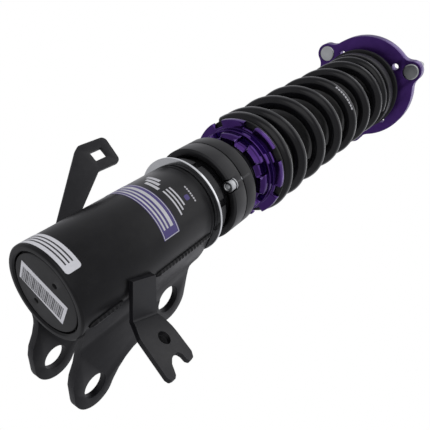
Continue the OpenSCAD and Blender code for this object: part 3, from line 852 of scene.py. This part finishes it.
def build_perch():
    ob = polar_ring(
        "perch_lock_ring_body", notched(33.6, 29.7, 8, 20.9, 8.6), BORE,
        [(2.4, 177.0), (0.15, 179.25), (0, 179.5), (0, 185.6), (0.12, 185.88), (0.4, 186.0)],
        [(0.9, 177.0), (0, 178.0), (0, 185.2), (0.8, 186.0)],
    )
    finish_piece(ob, "perch", "perch_lock", ["perch_lock_ring"])
    flange = polar_ring(
        "flange", notched(41.1, 36.3, 8, 12.4, 7.5), 30.0,
        [(0.5, 191.3), (0.15, 191.45), (0, 191.8), (0, 195.9), (0.15, 196.25), (0.5, 196.4)],
        [(0, 191.3), (0, 196.4)],
    )
    prof = [
        (BORE, 187.0), (BORE + 0.7, 186.3), (33.9, 186.3), (34.4, 186.8), (34.4, 191.6), (30.9, 191.6),
        (30.9, 205.2), (30.2, 206.0), (BORE + 0.6, 206.0), (BORE, 205.4),
    ]
    hub = lathe("hub", prof, {2: 0.2, 3: 0.2, 6: 0.3, 7: 0.3}, 192)
    ob = join("spring_perch_body", [flange, hub])
    smooth_by_angle(ob.data)
    finish_piece(ob, "perch", "perch", ["spring_perch"])
    ob = lathe("perch_washer_ring", [(31.3, 196.8), (40.2, 196.8), (40.2, 199.0), (31.3, 199.0)], 0.4, 192)
    finish_piece(ob, "rubber", "spring_washer", ["perch_washer"])


COIL_R, WIRE_R, PITCH, COIL_LOW, COIL_HIGH = 37.4, 5.95, 35.2, 205.3, 420.0
T0 = 1.04  # turns at which the coils leave the closed end
T1 = T0 + (COIL_HIGH - COIL_LOW) / PITCH
GROUND_LOW, GROUND_HIGH = 199.75, 425.6  # the wire's flat ends


def squash_by_stroke(ob):
    """Gives the piece a mesh of its own; it is not shortened."""
    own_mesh(ob)


def coil_height(t):
    if t < T0:
        return COIL_LOW
    return COIL_HIGH if t > T1 else COIL_LOW + (t - T0) * PITCH


def coil_smooth(t):
    return sum(coil_height(t + d) for d in (-0.11, -0.07, -0.03, 0.03, 0.07, 0.11)) / 6


def wire_point(t, b, r):
    """A point on the wire: t turns along, b radians round the section, r from its centre."""
    rise = (coil_smooth(t + 0.005) - coil_smooth(t - 0.005)) / 0.01
    run = TAU * COIL_R
    f = math.hypot(rise, run)
    out, lift = r * math.cos(b), r * math.sin(b)
    a = t * TAU
    x = (COIL_R + out) * math.cos(a) + lift * rise / f * math.sin(a)
    y = (COIL_R + out) * math.sin(a) - lift * rise / f * math.cos(a)
    return (x, y, coil_smooth(t) + lift * run / f)


def build_spring():
    start, end = 0.39, T1 + 0.64
    cuts, sides = 760, 28
    rows = [(start, 0.86), (start + 0.0006, 0.95), (start + 0.002, 1.0)]
    rows += [(start + (end - start) * i / cuts, 1.0) for i in range(1, cuts)]
    rows += [(end - 0.002, 1.0), (end - 0.0006, 0.95), (end, 0.86)]
    verts, faces = [], []
    for t, k in rows:
        for j in range(sides):
            x, y, z = wire_point(t, TAU * j / sides, WIRE_R * k)
            verts.append((x, y, min(max(z, GROUND_LOW), GROUND_HIGH)))
    for i in range(len(rows) - 1):
        for j in range(sides):
            k = (j + 1) % sides
            faces.append((i * sides + j, (i + 1) * sides + j, (i + 1) * sides + k, i * sides + k))
    last = (len(rows) - 1) * sides
    faces += [tuple(range(sides))[::-1], tuple(last + j for j in range(sides))]
    ob = mesh_object("coil_spring_wire", verts, faces, limit=50)
    finish_piece(ob, "spring", "rod_group", ["coil_spring"])
    squash_by_stroke(ob)


def build_spring_print():
    """Plain dashes on one coil."""
    marks = []
    for i in range(9):
        t0 = 4.575 + i * 0.0115
        places = [(u, b, h) for h in (0.01, 0.06) for b in (-34, -26, -18) for u in (0, 0.5, 1)]
        grid = [wire_point(t0 + 0.008 * u, rad(b), WIRE_R + h) for u, b, h in places]
        f = []
        for r in (0, 1):
            for c in (0, 1):
                a = r * 3 + c
                f += [(a, a + 3, a + 4, a + 1), (9 + a, 9 + a + 1, 9 + a + 4, 9 + a + 3)]
        for a, b in ((0, 1), (1, 2), (2, 5), (5, 8), (8, 7), (7, 6), (6, 3), (3, 0)):
            f.append((a, b, b + 9, a + 9))
        marks.append(mesh_object("dash", grid, f))
    ob = join("spring_print", marks)
    finish_piece(ob, "white_ink", "rod_group")
    squash_by_stroke(ob)


def build_boot():
    low, high, folds = 214.0, 423.6, 16
    step = (high - 12 - low - 6) / folds
    outer = [(28.2, low), (28.8, low + 0.6), (28.8, low + 5.6)]
    inner = []
    for i in range(folds):
        z = low + 6 + i * step
        for u in (0.1, 0.3, 0.5, 0.7, 0.9):
            swell = math.sin(math.pi * u) ** 1.6
            outer.append((28.4 + 0.9 * swell, z + u * step))
            inner.append((27.1 + 0.8 * swell, z + u * step))
    outer += [(28.2, high - 11.8), (26.4, high - 10), (26.4, high)]
    inner = [(27.1, low)] + inner + [(24.8, high - 11), (24.8, high)]
    ob = lathe("dust_boot_bellows", outer + inner[::-1], 0, 128, 50)
    finish_piece(ob, "rubber", "rod_group", ["dust_boot"])
    squash_by_stroke(ob)


# ---------- upper seat, rod and top mount ----------


def build_seat():
    prof = [
        (6.0, 441), (14, 441), (14, 424), (27, 424), (27, 414), (30.8, 416), (30.8, 426), (43.2, 426),
        (43.9, 426.7), (43.9, 437.5), (42.9, 438.5), (40, 438.5), (40, 445.5), (45, 445.5), (45.7, 446.2),
        (45.7, 448.4), (45, 449), (17, 449), (13, 453), (13, 457), (6.0, 457),
    ]
    radii = {
        5: 0.5, 6: 0.6, 7: 0.4, 8: 0.4, 9: 0.4, 10: 0.4, 11: 0.5, 12: 0.5, 13: 0.3, 14: 0.4, 15: 0.3,
        16: 0.3, 17: 1.0,
    }
    ob = lathe("upper_seat_body", prof, radii, 256)
    finish_piece(ob, "anodised_black", "rod_group", ["upper_spring_seat"])


def build_rod():
    core = [
        (5.3, 500.6), (5.0, 501), (3.0, 501), (3.0, 496), (0, 496), (0, 168.0), (6.6, 168.0), (7, 168.4),
        (7, 184), (10.5, 184), (11, 184.5), (11, 440.5), (10.5, 441), (5.3, 441), (5.3, 441.5),
    ]
    ob = threaded("damper_rod", 6.0, 0.7, 1.25, 441.5, 500.5, core, 64)
    finish_piece(ob, "chrome", "rod_group", ["piston_rod"])
    prof = [
        (11.3, 383), (15, 383), (18, 387), (18, 393), (15.5, 397), (18.5, 401), (18.5, 407), (16, 411),
        (19, 415), (19, 423.6), (13.9, 423.6), (13.9, 440.6), (11.3, 440.6),
    ]
    radii = {1: 1.5, 2: 2.0, 3: 2.0, 4: 1.5, 5: 2.0, 6: 2.0, 7: 1.5, 8: 2.0, 9: 0.5}
    ob = lathe("bump_stop_foam", prof, radii, 128, 50)
    finish_piece(ob, "foam", "rod_group", ["bump_stop"])


def build_housing():
    prof = [
        (16.5, 456), (23.5, 456), (24, 456.5), (24, 470), (23.4, 470), (23.4, 478.3), (22.2, 479.5),
        (20.5, 479.5), (20.5, 477), (19, 477), (19, 458), (16.5, 458),
    ]
    ob = lathe("housing_ring", prof, {1: 0.2, 2: 0.2, 4: 0.4, 5: 0.4, 6: 0.3, 7: 0.3}, 192)
    finish_piece(ob, "anodised_black", "top_mount", ["bearing_housing"])


def build_rod_nut():
    nut = lathe("nut_washer", [(6.0, 482), (12, 482), (12, 483.6), (6.0, 483.6)], 0.25, 96)
    body = prism("nut", [around(11, 60 * i) for i in range(6)], 483.6, 492.6)
    cone = lathe("cone", [(0, 483.0), (12.6, 483.0), (12.6, 490.0), (9.4, 493.4), (0, 493.4)], 0, 96)
    boolean(body, [cone], "INTERSECT")
    boolean(body, [rod_along("bore", (0, 0, 488), (0, 0, 1), 6.0, 20, 64)])
    soften(body, 0.2, 2, 40)
    ob = join("rod_lock_nut", [nut, body])
    smooth_by_angle(ob.data)
    finish_piece(ob, "zinc", "rod_group", ["rod_nut"])


def build_adjuster():
    """The knob's outline has a rounded groove every 20 degrees."""
    outline = []
    for a in range(0, 360, 20):
        outline += [(a - 5.5, 5.6), (a - 3.5, 5.3), (a, 5.2), (a + 3.5, 5.3), (a + 5.5, 5.6), (a + 10, 5.6)]
    knob = polar_ring(
        "knob", outline, 1.0,
        [(0.3, 501.4), (0, 501.7), (0, 506.4), (0.4, 506.9), (0.9, 507.0)],
        [(0, 501.4), (0, 506.8), (0.2, 507.0)],
    )
    stem = lathe("stem", [(0, 497), (2.6, 497), (2.94, 497.4), (2.94, 501.8), (0, 501.8)], 0, 48)
    core = lathe("core", [(0, 501.6), (1.2, 501.6), (1.2, 506.7), (0, 506.7)], 0, 48)
    boolean(core, [prism("slot", [(-6, -0.4), (6, -0.4), (6, 0.4), (-6, 0.4)], 506.0, 509)])
    ob = join("adjuster_dial", [knob, stem, core])
    smooth_by_angle(ob.data)
    finish_piece(ob, "red", "adjuster", ["adjuster_knob"])


STUD_PCR, STUD_A = 58.5, 1.5  # circle's radius and the first stud's angle


def plate_outline(step=3.0):
    """A round plate with three lobes that blend in."""
    disc, lobe_r, fillet, reach = 58.0, 11.5, 14.0, 72.0
    cosine = (reach**2 + STUD_PCR**2 - (lobe_r + fillet) ** 2) / (2 * reach * STUD_PCR)
    turn = math.degrees(math.acos(cosine))
    lobe_c, blend_c = Vector((STUD_PCR, 0)), Vector(around(reach, turn))
    to_blend = blend_c - lobe_c
    end_lobe = math.degrees(math.atan2(to_blend.y, to_blend.x))
    a0, a1 = end_lobe + 180, turn + 180
    half = [lobe_c + Vector(around(lobe_r, end_lobe * i / 20)) for i in range(1, 21)]
    half += [blend_c + Vector(around(fillet, a0 + (a1 - a0) * i / 12)) for i in range(1, 13)]
    n = int((60 - turn) / step)
    half += [Vector(around(disc, turn + (60 - turn) * i / n)) for i in range(1, n)]
    lobe = [Vector((p.x, -p.y)) for p in reversed(half)] + [lobe_c + Vector((lobe_r, 0))] + half
    pts = []
    for k in range(3):
        c, s = around(1.0, STUD_A + 120 * k)
        pts += [(p.x * c - p.y * s, p.x * s + p.y * c) for p in lobe]
        pts.append(around(disc, STUD_A + 120 * k + 60))
    return pts


def build_plate():
    outline = plate_outline()
    ob = prism("plate_core", outline, 460, 470)
    cuts = [rod_along("bore", (0, 0, 465), (0, 0, 1), 24.0, 30, 144)]
    for i in range(4):
        cuts.append(rod_along("hole", (*around(45.0, 47.8 + 90 * i), 465), (0, 0, 1), 3.7, 30, 40))
    for i in range(3):
        x, y = around(STUD_PCR, STUD_A + 120 * i)
        cuts.append(rod_along("hole", (x, y, 465), (0, 0, 1), 4.3, 30, 40))
        cuts.append(rod_along("seat", (x, y, 459.9), (0, 0, 1), 9.2, 5.0, 72))
    boolean(ob, cuts)
    soften(ob, 0.7, 3, 60)
    ob.name = "top_plate"
    finish_piece(ob, "purple", "top_mount", ["top_mount_plate"])


def build_studs():
    prof = [(0, 459.75), (7.4, 459.6), (8.3, 459.8), (8.9, 460.4), (8.9, 462.4), (0, 462.4)]
    core = [
        (3.0, 497.6), (0, 497.6), (0, 462.0), (4.25, 462.0), (4.25, 470.0), (4.0, 470.0), (4.0, 470.6),
        (3.35, 471.2),
    ]
    studs = []
    for i in range(3):
        x, y = around(STUD_PCR, STUD_A + 120 * i)
        head = lathe("head", prof, {1: 0.4, 2: 0.5, 3: 0.4}, 72)
        stud = threaded("stud", 4.0, 0.6, 1.25, 471.2, 497.0, core, 40)
        for o in (head, stud):
            o.data.transform(Matrix.Translation((x * MM, y * MM, 0)))
            studs.append(o)
    ob = join("plate_studs", studs)
    smooth_by_angle(ob.data, 35)
    finish_piece(ob, "zinc", "top_mount", ["mount_studs"])


def dress_cad_nodes():
    """The hidden pieces keep their CAD shape and get a surface."""
    plain = {
        "bearing_race": "steel", "snap_ring": "zinc", "swivel_ball": "chrome", "piston": "steel",
        "seal_head": "anodised_black", "floating_piston": "steel",
    }
    for name, mat in plain.items():
        ob = NODES[name]
        ob.data.materials.clear()
        ob.data.materials.append(MAT[mat])


# ---------- camera, light, floor ----------

# the solved camera: its place in the strut's mm, and its axes
CAM_AT = Vector((-186.07, -192.76, -113.79)) * MM + Vector((0, 0, Z_BASE))
RIGHT = Vector((-0.0242, -0.8105, 0.5852))
UP = Vector((-0.841, 0.333, 0.4264))
AHEAD = Vector((0.5405, 0.4818, 0.6897))


def look(at, target):
    """The placing of a light at one point that faces another."""
    z = (at - target).normalized()
    x = UP.cross(z).normalized()
    y = z.cross(x)
    m = Matrix((x, y, z)).transposed().to_4x4()
    m.translation = at
    return m


FLOOR_HALF, FLOOR_DROP = 4.0, 0.26  # metres; the camera looks up from between the floor and the strut


def build_camera():
    cam = bpy.data.cameras.new("camera")
    cam.lens, cam.sensor_width, cam.clip_start = 41.40, 36.0, 0.01
    ob = bpy.data.objects.new("camera", cam)
    m = Matrix((RIGHT, UP, -AHEAD)).transposed().to_4x4()
    m.translation = CAM_AT
    ob.matrix_world = m
    scene.collection.objects.link(ob)
    scene.camera = ob


def build_lights():
    mid = Vector((0, 0, 200 * MM + Z_BASE))
    for name, r, u, f, size, power in LIGHTS:
        light = bpy.data.lights.new(name, "AREA")
        light.shape = "RECTANGLE"
        light.size, light.size_y = size
        light.energy = power
        at = mid + RIGHT * r + UP * u + AHEAD * f
        lo = bpy.data.objects.new(name, light)
        lo.matrix_world = look(at, mid)
        lo.visible_camera = False
        scene.collection.objects.link(lo)


def build_world():
    """Soft light by height; the camera itself sees plain white."""
    world = bpy.data.worlds.new("studio")
    world.use_nodes = True
    t = world.node_tree
    back = t.nodes["Background"]
    back.inputs["Strength"].default_value = 1.0
    split = node(t, "ShaderNodeSeparateXYZ", (-700, 0))
    t.links.new(node(t, "ShaderNodeTexCoord", (-900, 0)).outputs["Generated"], split.inputs[0])
    height = node(t, "ShaderNodeMapRange", (-500, 0))
    height.inputs["From Min"].default_value = -1.0
    t.links.new(split.outputs["Z"], height.inputs["Value"])
    t.links.new(ramp(t, height.outputs[0], WORLD, (-300, 0)), back.inputs["Color"])
    seen = node(t, "ShaderNodeBackground", (0, 200))
    seen.inputs["Color"].default_value = (1, 1, 1, 1)
    path = node(t, "ShaderNodeLightPath", (-300, 300))
    both = node(t, "ShaderNodeMixShader", (250, 100))
    t.links.new(path.outputs["Is Camera Ray"], both.inputs[0])
    t.links.new(back.outputs[0], both.inputs[1])
    t.links.new(seen.outputs[0], both.inputs[2])
    t.links.new(both.outputs[0], t.nodes["World Output"].inputs["Surface"])
    scene.world = world
    scene.view_settings.view_transform = "Standard"


def build_floor():
    mesh = bpy.data.meshes.new("floor")
    s, z = FLOOR_HALF, Z_BASE - FLOOR_DROP
    mesh.from_pydata([(-s, -s, z), (s, -s, z), (s, s, z), (-s, s, z)], [], [(0, 1, 2, 3)])
    floor = bpy.data.objects.new("floor", mesh)
    floor.data.materials.append(MAT["floor"])
    scene.collection.objects.link(floor)
    floor.visible_glossy = False


# name, place along the camera's right, up and forward in metres, (width, height), watts
LIGHTS = [
    ("right_high", 0.85, 0.5, 0.0, (0.5, 1.0), 0.9),
    ("front_soft", 0.1, 0.3, -0.9, (1.0, 1.0), 2.0),
    ("back_right", 0.8, 0.35, 0.6, (0.3, 1.2), 1.4),
]

# light from round the object, from straight below (0) to straight above (1)
WORLD = [
    (0.0, (0.46, 0.46, 0.48)), (0.4, (0.42, 0.42, 0.44)), (0.55, (0.27, 0.27, 0.285)),
    (0.72, (0.55, 0.55, 0.58)), (0.86, (0.85, 0.85, 0.89)), (1.0, (0.4, 0.4, 0.42)),
]

build_camera()
build_lights()
build_world()
build_floor()
build_tube()
build_ears()
build_welds()
build_hose_bracket()
build_sensor_bracket()
build_tube_labels()
build_body()
build_tube_ring()
build_jam_nut()
build_collar()
build_pinch_screw()
build_perch()
build_spring()
build_spring_print()
build_boot()
build_seat()
build_rod()
build_housing()
build_rod_nut()
build_adjuster()
build_plate()
build_studs()
dress_cad_nodes()
